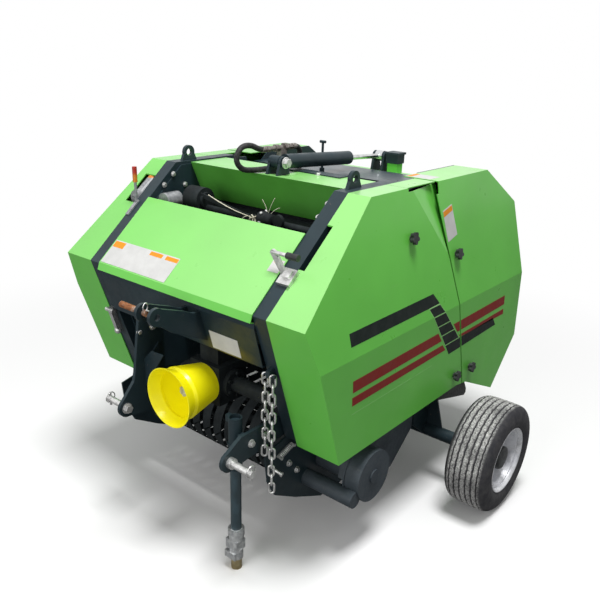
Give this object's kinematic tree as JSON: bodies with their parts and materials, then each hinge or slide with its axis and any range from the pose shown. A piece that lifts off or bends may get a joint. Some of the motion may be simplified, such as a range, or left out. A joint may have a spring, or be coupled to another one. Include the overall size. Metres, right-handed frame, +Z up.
{
  "type": "mounted mini round baler",
  "caption": "Small tractor-mounted round baler with folded side doors, a hinged tailgate, a pickup reel, a guarded drive shaft and two wheels.",
  "frame": {"origin": "on the ground under the middle of the machine's box", "axes": "+X to the machine's drive side, +Y from the hitch to the tailgate, +Z up"},
  "size_m": [1.619, 1.543, 1.2625],
  "materials": {
    "green_paint": "gloss enamel",
    "dark_paint": "satin enamel",
    "tyre_rubber": "matt, dusty",
    "silver_rim": "silver paint",
    "yellow_guard": "moulded",
    "zinc_steel": "zinc plated",
    "chrome_rod": "polished",
    "black_plastic": "moulded",
    "hose_rubber": "matt"
  },
  "bodies": {
    "chassis": {"axle": "dark_paint", "chamber_wall_far": "dark_paint", "chamber_wall_near": "dark_paint", "cross_beam": "dark_paint", "cylinder_front_clevis": "dark_paint", "front_door_far": "green_paint", "front_door_knobs": "black_plastic", "front_door_near": "green_paint", "front_panel": "dark_paint", "front_post_far": "dark_paint", "front_post_near": "dark_paint", "gearbox": "dark_paint", "hitch_pins": "zinc_steel", "hitch_plates": "dark_paint", "hood": "green_paint", "hose_fittings": "zinc_steel", "jack_sleeve": "dark_paint", "lifting_lugs": "dark_paint", "mast": "dark_paint", "oil_hoses": "hose_rubber", "pickup_bands": "dark_paint", "pickup_drive_cover": "dark_paint", "pickup_plates": "dark_paint", "post_fittings": "zinc_steel", "pto_guard": "yellow_guard", "safety_chains": "zinc_steel", "top_beam": "green_paint", "top_flanges": "green_paint", "top_guard_plate": "dark_paint", "top_link_pin": "zinc_steel", "twine_controls": "zinc_steel", "twine_feeder": "dark_paint"},
    "tailgate": {"tailgate_wall_near": "dark_paint", "tailgate_wall_far": "dark_paint", "rear_door_near": "green_paint", "rear_door_far": "green_paint", "back_panel": "green_paint", "cylinder_rear_clevis": "dark_paint", "rear_door_knobs": "black_plastic"},
    "cylinder_barrel": {"cylinder_barrel": "dark_paint"},
    "cylinder_rod": {"cylinder_rod": "chrome_rod"},
    "wheel_near": {"tyre_near": "tyre_rubber", "rim_near": "silver_rim"},
    "wheel_far": {"tyre_far": "tyre_rubber", "rim_far": "silver_rim"},
    "pickup_reel": {"pickup_reel": "dark_paint"},
    "pto_shaft": {"pto_shaft": "zinc_steel"},
    "jack_leg": {"jack_leg": "dark_paint"},
    "front_roller_1": {"front_roller_1": "dark_paint"},
    "front_roller_2": {"front_roller_2": "dark_paint"},
    "front_roller_3": {"front_roller_3": "dark_paint"},
    "front_roller_4": {"front_roller_4": "dark_paint"},
    "front_roller_5": {"front_roller_5": "dark_paint"},
    "front_roller_6": {"front_roller_6": "dark_paint"},
    "rear_roller_1": {"rear_roller_1": "dark_paint"},
    "rear_roller_2": {"rear_roller_2": "dark_paint"},
    "rear_roller_3": {"rear_roller_3": "dark_paint"},
    "rear_roller_4": {"rear_roller_4": "dark_paint"},
    "rear_roller_5": {"rear_roller_5": "dark_paint"}
  },
  "joints": [
    {"name": "tailgate_hinge", "type": "hinge", "parent": "chassis", "child": "tailgate", "pos_m": [0, 0.0655, 1.1], "axis": [1, 0, 0], "range_deg": [0, 50]},
    {"name": "cylinder_swing", "type": "hinge", "parent": "chassis", "child": "cylinder_barrel", "pos_m": [0.035, -0.1465, 1.206], "axis": [1, 0, 0], "range_deg": [-1, 40]},
    {"name": "cylinder_stroke", "type": "slide", "parent": "cylinder_barrel", "child": "cylinder_rod", "axis": [0, 0.9985, -0.0557], "range_m": [-0.135, 0.001]},
    {"name": "wheel_near_spin", "type": "hinge", "parent": "chassis", "child": "wheel_near", "pos_m": [0.727, 0.2555, 0.203], "axis": [1, 0, 0], "continuous": true},
    {"name": "wheel_far_spin", "type": "hinge", "parent": "chassis", "child": "wheel_far", "pos_m": [-0.727, 0.2555, 0.203], "axis": [1, 0, 0], "continuous": true},
    {"name": "pickup_spin", "type": "hinge", "parent": "chassis", "child": "pickup_reel", "pos_m": [0, -0.2475, 0.28], "axis": [1, 0, 0], "continuous": true},
    {"name": "pto_spin", "type": "hinge", "parent": "chassis", "child": "pto_shaft", "pos_m": [0.095, -0.5945, 0.568], "axis": [0, 1, 0], "continuous": true},
    {"name": "jack_slide", "type": "slide", "parent": "chassis", "child": "jack_leg", "axis": [0, 0, 1], "range_m": [0, 0.21]},
    {"name": "front_roller_1_spin", "type": "hinge", "parent": "chassis", "child": "front_roller_1", "pos_m": [0, 0.05214, 1.07047], "axis": [1, 0, 0], "continuous": true},
    {"name": "front_roller_2_spin", "type": "hinge", "parent": "chassis", "child": "front_roller_2", "pos_m": [0, -0.11425, 0.9705], "axis": [1, 0, 0], "continuous": true},
    {"name": "front_roller_3_spin", "type": "hinge", "parent": "chassis", "child": "front_roller_3", "pos_m": [0, -0.20836, 0.80072], "axis": [1, 0, 0], "continuous": true},
    {"name": "front_roller_4_spin", "type": "hinge", "parent": "chassis", "child": "front_roller_4", "pos_m": [0, -0.20497, 0.60664], "axis": [1, 0, 0], "continuous": true},
    {"name": "front_roller_5_spin", "type": "hinge", "parent": "chassis", "child": "front_roller_5", "pos_m": [0, 0.05214, 0.34953], "axis": [1, 0, 0], "continuous": true},
    {"name": "front_roller_6_spin", "type": "hinge", "parent": "chassis", "child": "front_roller_6", "pos_m": [0, 0.24622, 0.34614], "axis": [1, 0, 0], "continuous": true},
    {"name": "rear_roller_1_spin", "type": "hinge", "parent": "tailgate", "child": "rear_roller_1", "pos_m": [0, 0.25886, 1.07047], "axis": [1, 0, 0], "continuous": true},
    {"name": "rear_roller_2_spin", "type": "hinge", "parent": "tailgate", "child": "rear_roller_2", "pos_m": [0, 0.42525, 0.9705], "axis": [1, 0, 0], "continuous": true},
    {"name": "rear_roller_3_spin", "type": "hinge", "parent": "tailgate", "child": "rear_roller_3", "pos_m": [0, 0.51936, 0.80072], "axis": [1, 0, 0], "continuous": true},
    {"name": "rear_roller_4_spin", "type": "hinge", "parent": "tailgate", "child": "rear_roller_4", "pos_m": [0, 0.51597, 0.60664], "axis": [1, 0, 0], "continuous": true},
    {"name": "rear_roller_5_spin", "type": "hinge", "parent": "tailgate", "child": "rear_roller_5", "pos_m": [0, 0.416, 0.44025], "axis": [1, 0, 0], "continuous": true}
  ],
  "couplings": [
    {"joint": "cylinder_swing", "follows": "tailgate_hinge", "ratio": 0.6671},
    {"joint": "cylinder_stroke", "follows": "tailgate_hinge", "m_per_rad": -0.13735}
  ]
}
